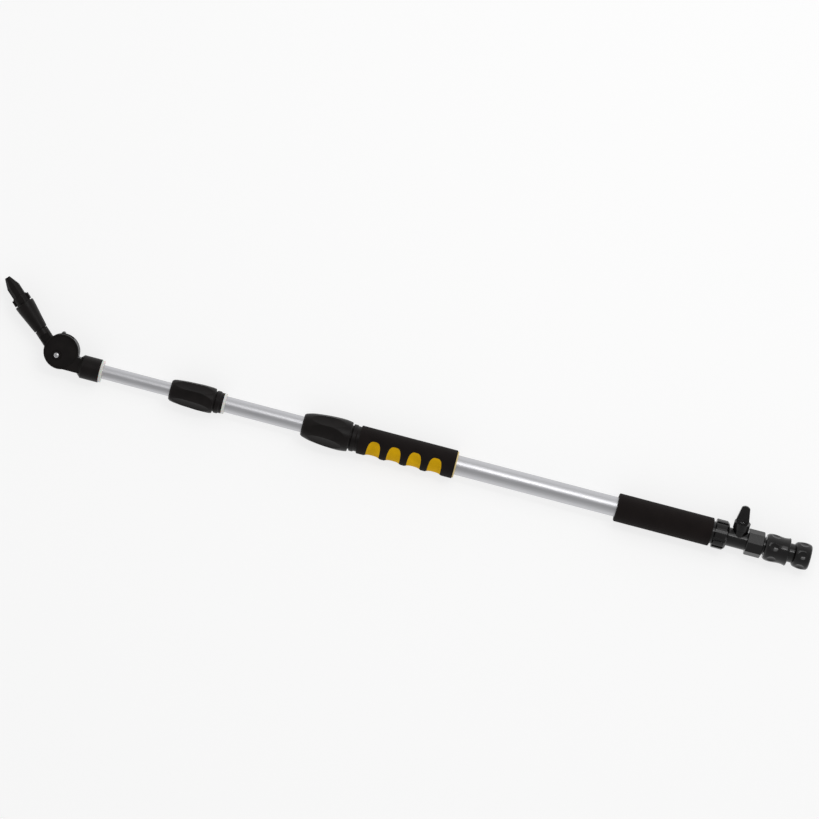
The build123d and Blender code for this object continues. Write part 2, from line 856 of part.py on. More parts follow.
def lock_base_section(lock):
    """Collar and threaded sleeve that hold the larger tube's end, with an O-ring groove."""
    slide_r = lock.small_r + running_fit
    groove_x = lock.shoulder_x + 4.0
    groove_r = slide_r + 2 * seal_section_r
    return half_section(
        (lock.x, lock.big_r),
        (lock.shoulder_x, lock.big_r),
        (lock.shoulder_x, slide_r),
        (groove_x, slide_r),
        (groove_x, groove_r),
        (groove_x + 2.4, groove_r),
        (groove_x + 2.4, slide_r),
        (lock.collet_x, slide_r),
        (lock.collet_x, lock.thread_r),
        (lock.thread_x, lock.thread_r),
        (lock.thread_x, lock.collar_r - 0.8),
        (lock.thread_x - 0.8, lock.collar_r),
        (lock.x + 5.0, lock.collar_r),
        (lock.x + 3.4, lock.collar_r - 1.2),
        (lock.x, lock.collar_r - 1.2),
    )


def lock_seal_section(lock):
    """O-ring round the smaller tube, in the base's groove."""
    return cord_section(
        lock.shoulder_x + 5.2, lock.small_r + running_fit + seal_section_r, seal_section_r
    )


def lock_collet_section(lock):
    """Tapered ring that the nut squeezes onto the smaller tube."""
    grip = lock.small_r + running_fit
    return half_section(
        (lock.collet_x, grip),
        (lock.collet_front, grip),
        (lock.collet_front, lock.collet_r - 1.4),
        (lock.collet_x + 3.0, lock.collet_r),
        (lock.collet_x, lock.collet_r),
    )


def lock_nut_section(lock):
    """Barrel-shaped twist nut, threaded behind and coned in front of the collet."""
    nut_bore = lock.thread_r + running_fit
    mouth = lock.small_r + free_gap
    with BuildSketch() as section:
        with BuildLine():
            barrel = Spline(
                (lock.nut_x + 1.0, lock.rear_r),
                (lock.nut_x + (lock.nut_front - lock.nut_x) * lock_bulge_place, lock.mid_r),
                (lock.nut_front - 2.0, lock.front_r),
            )
            Polyline(
                barrel @ 1,
                (lock.nut_front, lock.front_r - 1.6),
                (lock.nut_front, mouth),
                (lock.collet_front + 1.2, mouth),
                (lock.collet_front + 0.8, lock.collet_r - 1.4 + free_gap),
                (lock.collet_x + 3.0, lock.collet_r + free_gap),
                (lock.collet_x + 1.0, nut_bore),
                (lock.nut_x, nut_bore),
                (lock.nut_x, lock.rear_r - 0.8),
                barrel @ 0,
            )
        make_face()
    return section.sketch


def lock_wiper_section(lock):
    """Soft wiper ring in the nut's mouth."""
    return turned_ring(
        lock.wiper_x, lock.wiper_x + 2.0, lock.small_r + running_fit, lock.small_r + free_gap
    )


def lock_panel(lock):
    """Wide round cutter along the nut's taper, which leaves one lens-shaped hollow panel."""
    panel_r = lock.mid_r * lock_panel_hollow
    length = lock.nut_front - lock.nut_x
    slope = (lock.rear_r - lock.front_r) / length
    bulge = Vector(lock.nut_x + length * lock_bulge_place, 0, lock.mid_r - lock_panel_depth)
    direction = Vector(1, 0, -slope)
    outward = Vector(slope, 0, 1).normalized()
    with BuildPart(mode=Mode.PRIVATE) as cutter:
        with BuildSketch(Plane(origin=bulge + outward * panel_r, x_dir=(0, 1, 0), z_dir=direction)):
            Circle(panel_r)
        extrude(amount=length, both=True)
    return cutter.part


with BuildPart() as outer_lock_base:
    revolve(lock_base_section(outer_lock), axis=Axis.X)
outer_lock_base.part.label = "outer_lock_base"

with BuildPart() as outer_lock_seal:
    revolve(lock_seal_section(outer_lock), axis=Axis.X)
outer_lock_seal.part.label = "outer_lock_seal"

with BuildPart() as outer_lock_collet:
    revolve(lock_collet_section(outer_lock), axis=Axis.X)
    with Locations(across(outer_lock.collet_front - 5.0)):
        with PolarLocations(outer_lock.small_r + 1.0, 6):
            Box(8.0, 1.2, 14.0, mode=Mode.SUBTRACT)
outer_lock_collet.part.label = "outer_lock_collet"

outer_panel = lock_panel(outer_lock)
with BuildPart() as outer_lock_nut:
    revolve(lock_nut_section(outer_lock), axis=Axis.X)
    for turn in range(lock_panel_count):
        add(outer_panel.rotate(Axis.X, turn * 360 / lock_panel_count), mode=Mode.SUBTRACT)
outer_lock_nut.part.label = "outer_lock_nut"

with BuildPart() as outer_lock_wiper:
    revolve(lock_wiper_section(outer_lock), axis=Axis.X)
outer_lock_wiper.part.label = "outer_lock_wiper"

with BuildPart() as inner_lock_base:
    revolve(lock_base_section(inner_lock), axis=Axis.X)
inner_lock_base.part.label = "inner_lock_base"

with BuildPart() as inner_lock_ring:
    revolve(
        turned_ring(
            inner_lock_x - nylon_ring_length,
            inner_lock_x,
            middle_tube_r,
            inner_lock_collar_r - 1.2,
        ),
        axis=Axis.X,
    )
inner_lock_ring.part.label = "inner_lock_ring"

with BuildPart() as inner_lock_seal:
    revolve(lock_seal_section(inner_lock), axis=Axis.X)
inner_lock_seal.part.label = "inner_lock_seal"

with BuildPart() as inner_lock_collet:
    revolve(lock_collet_section(inner_lock), axis=Axis.X)
    with Locations(across(inner_lock.collet_front - 5.0)):
        with PolarLocations(inner_lock.small_r + 1.0, 6):
            Box(8.0, 1.2, 14.0, mode=Mode.SUBTRACT)
inner_lock_collet.part.label = "inner_lock_collet"

inner_panel = lock_panel(inner_lock)
with BuildPart() as inner_lock_nut:
    revolve(lock_nut_section(inner_lock), axis=Axis.X)
    for turn in range(lock_panel_count):
        add(inner_panel.rotate(Axis.X, turn * 360 / lock_panel_count), mode=Mode.SUBTRACT)
inner_lock_nut.part.label = "inner_lock_nut"

with BuildPart() as inner_lock_wiper:
    revolve(lock_wiper_section(inner_lock), axis=Axis.X)
inner_lock_wiper.part.label = "inner_lock_wiper"

# ---------------------------------------------------------------- head socket with its ears
ear_inner_z = knuckle_thickness / 2 + 0.2
ear_outer_z = ear_inner_z + ear_thickness
web_edge_y = 9.0
ear_rim = 2.0
ear_dish = 1.0
boss_height = 1.4
plate_screw_r = 1.3
plate_screw_head_r = 2.4
plate_screw_length = 10.0
plate_screw_places = [(socket_front + 6.0, 6.3), (socket_front + 6.5, -14.5)]

with BuildPart() as socket_ring:
    revolve(
        turned_ring(socket_x - nylon_ring_length, socket_x, inner_tube_r, socket_r - 0.8),
        axis=Axis.X,
    )
socket_ring.part.label = "socket_ring"


arm_folded_centre = (
    pivot.X + ear_r * cos(radians(rest_bend + fold_on)),
    pivot.Y - ear_r * sin(radians(rest_bend + fold_on)),
    0,
)


def ear_outline():
    """Outline of one ear: a disc with a web that runs back into the socket."""
    with BuildSketch() as outline:
        with Locations((ear_centre.X, ear_centre.Y)):
            Circle(ear_r)
        with BuildLine():
            Polyline(
                (socket_front - 4.0, -ear_r * 0.45),
                (ear_centre.X, ear_centre.Y),
                (ear_centre.X - 4.0, web_edge_y),
                (socket_front - 4.0, web_edge_y),
                close=True,
            )
        make_face()
    return outline.sketch


with BuildPart() as hinge_socket:
    revolve(
        half_section(
            (socket_x, 0),
            (socket_front + 1.0, 0),
            (socket_front + 1.0, 9.0),
            (socket_front - 5.0, socket_r),
            (socket_x, socket_r),
        ),
        axis=Axis.X,
    )
    # web between the ears, hollowed round the knuckle
    with BuildSketch(Plane.XY.offset(-ear_inner_z)):
        add(ear_outline())
        with Locations((ear_centre.X + ear_r, ear_centre.Y)):
            Rectangle(2 * ear_r + 20.0, 2 * ear_r + 4.0, mode=Mode.SUBTRACT)
        with Locations((pivot.X, pivot.Y)):
            Circle(knuckle_r + free_gap, mode=Mode.SUBTRACT)
        # room for the arm when it is folded right over
        with Locations(Location(arm_folded_centre, (0, 0, -rest_bend - fold_on))):
            Rectangle(2 * ear_r, 2 * (stem_arm_r + free_gap), mode=Mode.SUBTRACT)
    extrude(amount=2 * ear_inner_z)
    with BuildSketch(Plane.XY.offset(-ear_inner_z)):
        with Locations(plate_screw_places):
            Circle(plate_screw_r)
    extrude(amount=plate_screw_length - ear_thickness, mode=Mode.SUBTRACT)
    # front ear with its dished face and bolt boss
    with BuildSketch(Plane.XY.offset(ear_inner_z)):
        add(ear_outline())
    extrude(amount=ear_thickness)
    with BuildSketch(Plane.XY.offset(ear_outer_z)):
        with Locations((ear_centre.X, ear_centre.Y)):
            Circle(ear_r - ear_rim)
    extrude(amount=-ear_dish, taper=40, mode=Mode.SUBTRACT)
    with BuildSketch(Plane.XY.offset(ear_outer_z - ear_dish)):
        with Locations((pivot.X, pivot.Y)):
            Circle(boss_r)
    extrude(amount=boss_height + ear_dish, taper=18)
    # bolt hole, tube seat and water way
    with BuildSketch(Plane.XY.offset(ear_inner_z)):
        with Locations((pivot.X, pivot.Y)):
            Circle(bolt_r)
    extrude(amount=ear_thickness + 4.0, mode=Mode.SUBTRACT)
    revolve(
        half_section(
            (socket_x, 0),
            (socket_front + 12.0, 0),
            (socket_front + 12.0, socket_bore_r),
            (inner_tube_front, socket_bore_r),
            (inner_tube_front, inner_tube_r),
            (socket_x, inner_tube_r),
        ),
        axis=Axis.X,
        mode=Mode.SUBTRACT,
    )
hinge_socket.part.label = "hinge_socket"

with BuildPart() as hinge_rear_plate:
    with BuildSketch(Plane.XY.offset(-ear_inner_z - ear_thickness)):
        add(ear_outline())
        with Locations((socket_front - 10.0, 0)):
            Rectangle(2 * 11.5, 2 * socket_r + 10.0, mode=Mode.SUBTRACT)
        with Locations((pivot.X, pivot.Y)):
            Circle(bolt_r, mode=Mode.SUBTRACT)
    extrude(amount=ear_thickness)
    with Locations(Location((0, 0, -ear_inner_z - ear_thickness), (180, 0, 0))):
        with Locations([(x, -y) for x, y in plate_screw_places]):
            CounterSinkHole(plate_screw_r, plate_screw_head_r, counter_sink_angle=90)
hinge_rear_plate.part.label = "hinge_rear_plate"

with BuildPart() as plate_screws:
    with BuildSketch(Plane.XY.offset(-ear_outer_z)):
        with Locations(plate_screw_places):
            Circle(plate_screw_head_r)
    extrude(amount=plate_screw_head_r - plate_screw_r, taper=45)
    with BuildSketch(Plane.XY.offset(-ear_outer_z)):
        with Locations(plate_screw_places):
            Circle(plate_screw_r)
    extrude(amount=plate_screw_length)
    # crosshead recesses
    with BuildSketch(Plane.XY.offset(-ear_outer_z)):
        with Locations(plate_screw_places):
            Rectangle(2.6, 0.6)
            Rectangle(0.6, 2.6)
    extrude(amount=0.8, mode=Mode.SUBTRACT)
plate_screws.part.label = "plate_screws"

# ---------------------------------------------------------------- bolt, washer, clamp lever
head_z = ear_outer_z + boss_height
bolt_head_r = 3.3
bolt_head_height = 2.0
washer_z = -ear_outer_z - 1.2
lever_base_z = washer_z - 6.8

with BuildPart() as hinge_bolt:
    with BuildSketch(pivot_plane.offset(head_z)):
        Circle(bolt_head_r)
    extrude(amount=bolt_head_height)
    fillet(edges().sort_by(Axis.Z)[-1], bolt_head_height * 0.7)
    with BuildSketch(pivot_plane.offset(lever_base_z + 1.0)):
        Circle(bolt_r)
    extrude(amount=head_z - lever_base_z - 1.0)
hinge_bolt.part.label = "hinge_bolt"

with BuildPart() as clamp_washer:
    with BuildSketch(pivot_plane.offset(washer_z)):
        Circle(6.5)
        Circle(bolt_r, mode=Mode.SUBTRACT)
    extrude(amount=1.2)
clamp_washer.part.label = "clamp_washer"

with BuildPart() as clamp_lever:
    with BuildSketch(pivot_plane.offset(lever_base_z)):
        Circle(8.0)
        with BuildLine():
            tip_y = -clamp_lever_reach + 1.6
            tip_arc = ThreePointArc((2.4, tip_y), (0, -clamp_lever_reach), (-2.4, tip_y))
            Polyline(tip_arc @ 1, (-6.0, -3.0), (6.0, -3.0), tip_arc @ 0)
        make_face()
        Circle(bolt_r + running_fit, mode=Mode.SUBTRACT)
    extrude(amount=6.4)
clamp_lever.part.label = "clamp_lever"

# ---------------------------------------------------------------- swivel arm
chamber_r = 8.0
port_half_height = 2.4
port_start = 95.0  # degrees from the pole at rest; the port stays open over the whole tilt
port_arc = 130.0
seal_track_r = 11.0
seal_cord_r = 1.0
seal_stand = 0.15  # the hinge seals stand this far out of the knuckle
spigot_arm_r = 6.4
spigot_reach = 72.0

with BuildPart() as swivel_arm:
    with BuildSketch(pivot_plane.offset(-knuckle_thickness / 2)):
        Circle(knuckle_r)
    extrude(amount=knuckle_thickness)
    revolve(
        half_section(
            (4.0, 0),
            (spigot_reach, 0),
            (spigot_reach, spigot_arm_r),
            (stem_arm_reach, spigot_arm_r),
            (stem_arm_reach, stem_arm_r),
            (4.0, stem_arm_r),
            plane=arm_plane,
        ),
        axis=arm_axis,
    )
    # flats where the stem runs between the ears
    for side in (1, -1):
        with BuildSketch(arm_plane.offset(side * knuckle_thickness / 2)):
            with Locations((stem_flat_reach / 2, 0)):
                Rectangle(stem_flat_reach, 2 * stem_arm_r + 2.0)
        extrude(amount=side * stem_arm_r, mode=Mode.SUBTRACT)
    # bolt hole, chamber, water way and seal grooves
    with BuildSketch(pivot_plane.offset(-knuckle_thickness / 2)):
        Circle(bolt_r + running_fit)
    extrude(amount=knuckle_thickness, mode=Mode.SUBTRACT)
    with BuildSketch(pivot_plane.offset(-knuckle_thickness / 4)):
        Circle(chamber_r)
    extrude(amount=knuckle_thickness / 2, mode=Mode.SUBTRACT)
    for side in (1, -1):
        with BuildSketch(pivot_plane.offset(side * knuckle_thickness / 2)):
            Circle(seal_track_r + seal_cord_r)
            Circle(seal_track_r - seal_cord_r, mode=Mode.SUBTRACT)
        extrude(amount=-side * seal_cord_r, mode=Mode.SUBTRACT)
    revolve(
        half_section(
            (4.0, 0),
            (spigot_reach, 0),
            (spigot_reach, arm_bore_r),
            (4.0, arm_bore_r),
            plane=arm_plane,
        ),
        axis=arm_axis,
        mode=Mode.SUBTRACT,
    )
    # side port that lets water in from the socket
    port_dir = (cos(radians(port_start)), sin(radians(port_start)), 0)
    with BuildSketch(Plane(origin=pivot, x_dir=port_dir, z_dir=(port_dir[1], -port_dir[0], 0))):
        with Locations((knuckle_r, 0)):
            Rectangle(2 * (knuckle_r - chamber_r) + 2.0, 2 * port_half_height)
    revolve(axis=pivot_axis, revolution_arc=port_arc, mode=Mode.SUBTRACT)
swivel_arm.part.label = "swivel_arm"

with BuildPart() as hinge_seals:
    for side in (1, -1):
        with BuildSketch(pivot_plane.offset(side * (knuckle_thickness / 2 + seal_stand))):
            Circle(seal_track_r + seal_cord_r)
            Circle(seal_track_r - seal_cord_r, mode=Mode.SUBTRACT)
        extrude(amount=-side * (seal_cord_r + seal_stand))
hinge_seals.part.label = "hinge_seals"

# ---------------------------------------------------------------- nozzle
barrel_lip = 5.0
barrel_seal_x = spigot_reach - 6.0

with BuildPart() as nozzle_barrel:
    revolve(
        half_section(
            (stem_arm_reach + 0.5, spigot_arm_r + running_fit),
            (spigot_reach + 0.5, spigot_arm_r + running_fit),
            (spigot_reach + 0.5, arm_bore_r),
            (barrel_reach, arm_bore_r),
            (barrel_reach, barrel_front_r - 1.0),
            (barrel_reach - 1.0, barrel_front_r),
            (barrel_reach - 7.0, barrel_front_r - 0.3),
            (stem_arm_reach + 1.3, barrel_rear_r),
            (stem_arm_reach + 0.5, barrel_rear_r - 0.6),
            plane=arm_plane,
        ),
        axis=arm_axis,
    )
nozzle_barrel.part.label = "nozzle_barrel"

with BuildPart() as nozzle_lug_collar:
    revolve(
        turned_ring(barrel_reach, lug_collar_reach, arm_bore_r, lug_collar_r, plane=arm_plane),
        axis=arm_axis,
    )
    # bayonet lugs
    with BuildSketch(square_to_arm(barrel_reach + 1.2)):
        Rectangle(7.0, 2 * lug_r)
        Rectangle(2 * lug_r, 7.0)
    extrude(amount=lug_collar_reach - barrel_reach - 2.4)
nozzle_lug_collar.part.label = "nozzle_lug_collar"

with BuildPart() as nozzle_tip:
    with BuildSketch(square_to_arm(lug_collar_reach)):
        RegularPolygon(tip_width / 2, 8, major_radius=False, rotation=22.5)
    extrude(amount=tip_body_reach - lug_collar_reach)
    with BuildSketch(square_to_arm(tip_body_reach)):
        RegularPolygon(tip_width / 2, 8, major_radius=False, rotation=22.5)
    with BuildSketch(square_to_arm(tip_reach)):
        RegularPolygon(tip_end_width / 2, 8, major_radius=False, rotation=22.5)
    loft()
    # jet way and fan slot
    revolve(
        half_section(
            (lug_collar_reach, 0),
            (tip_reach - 4.0, 0),
            (tip_reach - 6.0, 2.4),
            (lug_collar_reach, 2.4),
            plane=arm_plane,
        ),
        axis=arm_axis,
        mode=Mode.SUBTRACT,
    )
    with BuildSketch(square_to_arm(tip_reach)):
        Rectangle(1.2, 4.4)
    extrude(amount=-6.0, mode=Mode.SUBTRACT)
nozzle_tip.part.label = "nozzle_tip"

# ---------------------------------------------------------------- write the pieces
pieces = [
    hose_nut, hose_clamp_ring, connector_body, locking_claws, release_sleeve, release_spring,
    hose_adaptor, nipple_seal, adaptor_washer, valve_body, ball_seats, seat_retainer, valve_ball,
    valve_stem, stem_seal, valve_lever, lever_screw, coupling_nut, coupling_washer, tail_fitting,
    tail_seal, outer_tube, middle_tube, inner_tube, middle_bush, middle_bush_seal, inner_bush,
    inner_bush_seal, rear_grip, front_grip_core, front_grip_cover, outer_lock_base,
    outer_lock_seal, outer_lock_collet, outer_lock_nut, outer_lock_wiper, inner_lock_base,
    inner_lock_ring, inner_lock_seal, inner_lock_collet, inner_lock_nut, inner_lock_wiper,
    socket_ring, hinge_socket, hinge_rear_plate, plate_screws, hinge_bolt, clamp_washer, clamp_lever,
    swivel_arm, hinge_seals, nozzle_barrel, nozzle_lug_collar, nozzle_tip,
]  # fmt: skip
os.makedirs("parts", exist_ok=True)
for piece in pieces:
    export_step(piece.part, f"parts/{piece.part.label}.step")
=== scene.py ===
"""Looks of the telescopic cleaning lance, built round its CAD frame.

Metres throughout. +X runs from the hose mouth to the nozzle, +Z is up, and the nozzle arm bends
towards -Y. The picture looks down on the lance with the nozzle to the left.
"""

import json
import math

import bmesh
import bpy
from mathutils import Matrix, Vector, noise


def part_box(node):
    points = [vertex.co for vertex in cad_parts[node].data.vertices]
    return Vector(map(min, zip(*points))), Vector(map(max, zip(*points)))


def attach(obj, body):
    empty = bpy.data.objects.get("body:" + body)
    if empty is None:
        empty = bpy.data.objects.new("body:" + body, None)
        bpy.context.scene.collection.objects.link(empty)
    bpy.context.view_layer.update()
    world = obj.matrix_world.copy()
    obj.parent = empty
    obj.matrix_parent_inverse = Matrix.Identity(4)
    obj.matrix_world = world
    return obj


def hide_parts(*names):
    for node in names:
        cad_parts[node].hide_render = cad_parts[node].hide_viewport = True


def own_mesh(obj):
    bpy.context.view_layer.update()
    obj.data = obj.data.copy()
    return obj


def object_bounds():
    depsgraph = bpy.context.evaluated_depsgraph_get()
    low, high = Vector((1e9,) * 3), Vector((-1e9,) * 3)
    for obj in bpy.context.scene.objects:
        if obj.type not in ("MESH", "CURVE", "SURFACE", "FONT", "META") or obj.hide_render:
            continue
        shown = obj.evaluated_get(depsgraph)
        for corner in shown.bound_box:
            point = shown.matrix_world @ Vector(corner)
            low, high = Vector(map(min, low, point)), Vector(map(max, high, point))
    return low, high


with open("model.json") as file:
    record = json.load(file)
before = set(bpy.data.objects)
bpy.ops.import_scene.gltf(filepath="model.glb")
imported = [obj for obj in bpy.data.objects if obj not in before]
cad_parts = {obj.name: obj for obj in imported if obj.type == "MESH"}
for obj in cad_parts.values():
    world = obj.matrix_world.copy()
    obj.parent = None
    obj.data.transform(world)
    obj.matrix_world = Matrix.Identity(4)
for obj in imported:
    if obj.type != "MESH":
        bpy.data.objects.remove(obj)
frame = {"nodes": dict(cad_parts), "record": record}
cad_low, cad_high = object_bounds()
MM = 0.001


# ---------------------------------------------------------------- material helpers
# Smooth noise lies mostly between these values, so they spread it over the full range.
WIDE_BAND = (0.3, 0.7)
NARROW_BAND = (0.35, 0.65)
# Agreement of the rounded normal with the true one: on an open face, and on a full edge.
EDGE_BAND = (0.985, 0.85)
BEVEL_SAMPLES = 4
# painted highlight: the paler colour, and the length it blends over, for the lip of the yellow
# core past the black skin
LIP_HIGHLIGHT_COLOUR = (0.85, 0.78, 0.50)
LIP_HIGHLIGHT_BLEND = 0.2 * MM


class Finish:
    """A Principled material and the nodes that give its surface detail."""

    def __init__(self, name, colour, roughness, **plain_values):
        self.material = bpy.data.materials.new(name)
        self.material.use_nodes = True
        self.nodes = self.material.node_tree.nodes
        self.links = self.material.node_tree.links
        self.shader = self.nodes["Principled BSDF"]
        self.set("Base Color", (*colour, 1.0))
        self.set("Roughness", roughness)
        for socket, value in plain_values.items():
            self.set(socket.replace("_", " "), value)

    def set(self, socket, value):
        """Sets one of the shader's own sockets."""
        self.shader.inputs[socket].default_value = value

    def place(self, scale):
        """Object coordinates stretched by scale (repeats per metre along x, y and z)."""
        coordinates = self.nodes.new("ShaderNodeTexCoord")
        mapping = self.nodes.new("ShaderNodeMapping")
        mapping.inputs["Scale"].default_value = scale
        self.links.new(coordinates.outputs["Object"], mapping.inputs["Vector"])
        return mapping.outputs["Vector"]

    def noise(self, scale, detail=3.0, rough=0.5, stretch=(1, 1, 1)):
        """Smooth noise with scale bumps per metre, stretched along x, y and z."""
        texture = self.nodes.new("ShaderNodeTexNoise")
        texture.inputs["Scale"].default_value = 1.0
        texture.inputs["Detail"].default_value = detail
        texture.inputs["Roughness"].default_value = rough
        vector = self.place([scale * part for part in stretch])
        self.links.new(vector, texture.inputs["Vector"])
        return texture.outputs["Fac"]

    def cells(self, scale):
        """Foam-like cells, scale of them per metre."""
        texture = self.nodes.new("ShaderNodeTexVoronoi")
        texture.inputs["Scale"].default_value = 1.0
        self.links.new(self.place([scale] * 3), texture.inputs["Vector"])
        return texture.outputs["Distance"]

    def ramp(self, value, low, high, start=0.0, end=1.0):
        """Maps value from low..high to start..end, clamped."""
        node = self.nodes.new("ShaderNodeMapRange")
        for socket, number in (
            ("From Min", low),
            ("From Max", high),
            ("To Min", start),
            ("To Max", end),
        ):
            node.inputs[socket].default_value = number
        self.links.new(value, node.inputs["Value"])
        return node.outputs["Result"]

    def math(self, operation, first, second):
        """One math node on two outputs, or on an output and a number."""
        node = self.nodes.new("ShaderNodeMath")
        node.operation = operation
        for socket, value in zip(node.inputs, (first, second)):
            if isinstance(value, (int, float)):
                socket.default_value = value
            else:
                self.links.new(value, socket)
        return node.outputs["Value"]

    def mix_colour(self, factor, first, second):
        """Blends two colours, or an output and a colour, by factor."""
        node = self.nodes.new("ShaderNodeMix")
        node.data_type = "RGBA"
        self.links.new(factor, node.inputs["Factor"])
        for socket, value in ((node.inputs[6], first), (node.inputs[7], second)):
            if isinstance(value, tuple):
                socket.default_value = (*value, 1.0)
            else:
                self.links.new(value, socket)
        return node.outputs[2]

    def soften_edges(self, radius):
        """Rounds sharp edges by radius in the shading."""
        bevel = self.nodes.new("ShaderNodeBevel")
        bevel.samples = BEVEL_SAMPLES
        bevel.inputs["Radius"].default_value = radius
        return bevel.outputs["Normal"]

    def edge_mask(self, radius):
        """1 along edges, within radius of them, and 0 on open faces."""
        geometry = self.nodes.new("ShaderNodeNewGeometry")
        dot = self.nodes.new("ShaderNodeVectorMath")
        dot.operation = "DOT_PRODUCT"
        self.links.new(self.soften_edges(radius), dot.inputs[0])
        self.links.new(geometry.outputs["Normal"], dot.inputs[1])
        return self.ramp(dot.outputs["Value"], *EDGE_BAND)

    def bump(self, height, distance, normal=None):
        """Raises the surface by up to distance where height is 1."""
        node = self.nodes.new("ShaderNodeBump")
        node.inputs["Distance"].default_value = distance
        node.inputs["Strength"].default_value = 1.0
        self.links.new(height, node.inputs["Height"])
        if normal is not None:
            self.links.new(normal, node.inputs["Normal"])
        self.links.new(node.outputs["Normal"], self.shader.inputs["Normal"])

    def drive(self, socket, value):
        """Links an output to one of the shader's sockets."""
        self.links.new(value, self.shader.inputs[socket])


def lighter(colour, factor):
    """The same colour, factor times as bright."""
    return tuple(min(1.0, part * factor) for part in colour)


# ---------------------------------------------------------------- materials
def moulded_plastic(name, colour, roughness, shine, grain, wear):
    """Injection-moulded plastic with a spark-eroded grain, faint flow marks and rubbed edges."""
    finish = Finish(name, colour, roughness, Specular_IOR_Level=shine)
    flow = finish.noise(90, detail=2.0)
    fine = finish.noise(2600, detail=4.0, rough=0.6)
    edges = finish.edge_mask(0.45 * MM)
    patches = finish.noise(240, detail=4.0, rough=0.65)
    rubbed = finish.math("MULTIPLY", edges, finish.ramp(patches, 0.42, 0.62))
    mottled = finish.mix_colour(
        finish.ramp(flow, *NARROW_BAND), lighter(colour, 0.82), lighter(colour, 1.22)
    )
    worn = finish.mix_colour(finish.math("MULTIPLY", rubbed, wear), mottled, lighter(colour, 4.0))
    finish.drive("Base Color", worn)
    tone = finish.math(
        "ADD",
        finish.ramp(fine, *WIDE_BAND, roughness - 0.05, roughness + 0.06),
        finish.ramp(flow, *WIDE_BAND, -0.03, 0.03),
    )
    finish.drive("Roughness", finish.math("SUBTRACT", tone, finish.math("MULTIPLY", rubbed, 0.1)))
    finish.bump(fine, grain, finish.soften_edges(0.35 * MM))
    return finish.material


def anodised_aluminium(name, colour, roughness):
    """Drawn and satin-anodised tube: fine lines along the tube and soft cloudy patches."""
    finish = Finish(name, colour, roughness, Metallic=1.0)
    lines = finish.noise(3200, detail=3.0, rough=0.6, stretch=(0.012, 1, 1))
    cloud = finish.noise(26, detail=3.0, stretch=(0.5, 1, 1))
    scuffs = finish.noise(900, detail=5.0, rough=0.75, stretch=(0.12, 1, 1))
    base = finish.mix_colour(
        finish.ramp(lines, *WIDE_BAND), lighter(colour, 0.93), lighter(colour, 1.05)
    )
    shade = finish.mix_colour(
        finish.ramp(scuffs, 0.64, 0.74, 0.0, 0.5), base, lighter(colour, 1.22)
    )
    finish.drive("Base Color", shade)
    rough = finish.math(
        "ADD",
        finish.ramp(lines, *WIDE_BAND, roughness - 0.05, roughness + 0.05),
        finish.ramp(cloud, *WIDE_BAND, -0.025, 0.025),
    )
    finish.drive("Roughness", rough)
    finish.bump(lines, 0.004 * MM)
    return finish.material


def closed_cell_foam(name, colour, roughness, pore, sheen, painted_lip_station=None):
    """Moulded or cut closed-cell foam: tiny cells, a dust-speckled surface and uneven tone.

    Behind the station given as the last argument, in metres along the pole, the foam is painted
    paler: a painted highlight on its lip.
    """
    finish = Finish(name, colour, roughness, Sheen_Weight=sheen, Sheen_Roughness=0.6)
    finish.set("Specular IOR Level", 0.12)
    cells = finish.cells(1.0 / pore)
    speckle = finish.noise(1500, detail=5.0, rough=0.7)
    cloud = finish.noise(60, detail=3.0)
    tone = finish.mix_colour(
        finish.ramp(cloud, *WIDE_BAND), lighter(colour, 0.86), lighter(colour, 1.14)
    )
    dust_and_lip_highlight = finish.mix_colour(finish.ramp(speckle, 0.55, 0.8), tone, lighter(colour, 1.6))
    # painted highlight: past the skin's end the core is painted paler, standing in for light on
    # its lip; the speckles before it are dust
    if painted_lip_station is not None:
        station = finish.nodes.new("ShaderNodeSeparateXYZ")
        finish.links.new(finish.place((1, 1, 1)), station.inputs["Vector"])
        lip_highlight = finish.ramp(station.outputs["X"], painted_lip_station, painted_lip_station - LIP_HIGHLIGHT_BLEND, 0.0, 0.6)
        dust_and_lip_highlight = finish.mix_colour(lip_highlight, dust_and_lip_highlight, LIP_HIGHLIGHT_COLOUR)
    finish.drive("Base Color", dust_and_lip_highlight)
    finish.drive("Roughness", finish.ramp(speckle, *WIDE_BAND, roughness - 0.06, roughness + 0.06))
    height = finish.math("ADD", finish.math("MULTIPLY", cells, 0.7), speckle)
    finish.bump(height, 0.05 * MM)
    return finish.material


def turned_metal(name, colour, roughness, line_height):
    """Machined metal: fine turned lines, slight tone changes and polished edges."""
    finish = Finish(name, colour, roughness, Metallic=1.0)
    lines = finish.noise(4000, detail=2.0, stretch=(1, 0.15, 0.15))
    cloud = finish.noise(180, detail=3.0)
    finish.drive(
        "Base Color",
        finish.mix_colour(
            finish.ramp(cloud, *NARROW_BAND), lighter(colour, 0.9), lighter(colour, 1.06)
        ),
    )
    finish.drive("Roughness", finish.ramp(cloud, *WIDE_BAND, roughness - 0.04, roughness + 0.05))
    finish.bump(lines, line_height, finish.soften_edges(0.25 * MM))
    return finish.material


def cast_metal(name, colour, roughness):
    """Die-cast zinc lever: fine-grained skin, tumbled edges."""
    finish = Finish(name, colour, roughness, Metallic=0.9)
    grain = finish.noise(1400, detail=5.0, rough=0.65)
    edges = finish.edge_mask(0.5 * MM)
    finish.drive("Base Color", finish.mix_colour(edges, colour, lighter(colour, 1.6)))
    finish.drive("Roughness", finish.ramp(grain, *WIDE_BAND, roughness - 0.08, roughness + 0.08))
    finish.bump(grain, 0.03 * MM, finish.soften_edges(0.5 * MM))
    return finish.material


def nitrile_rubber(name, colour, roughness):
    """Seal rubber with a fine matt skin."""
    finish = Finish(name, colour, roughness, Specular_IOR_Level=0.4)
    skin = finish.noise(1800, detail=4.0)
    finish.drive(
        "Base Color",
        finish.mix_colour(finish.ramp(skin, 0.4, 0.7), colour, lighter(colour, 1.5)),
    )
    finish.drive("Roughness", finish.ramp(skin, *WIDE_BAND, roughness - 0.05, roughness + 0.1))
    finish.bump(skin, 0.01 * MM)
    return finish.material


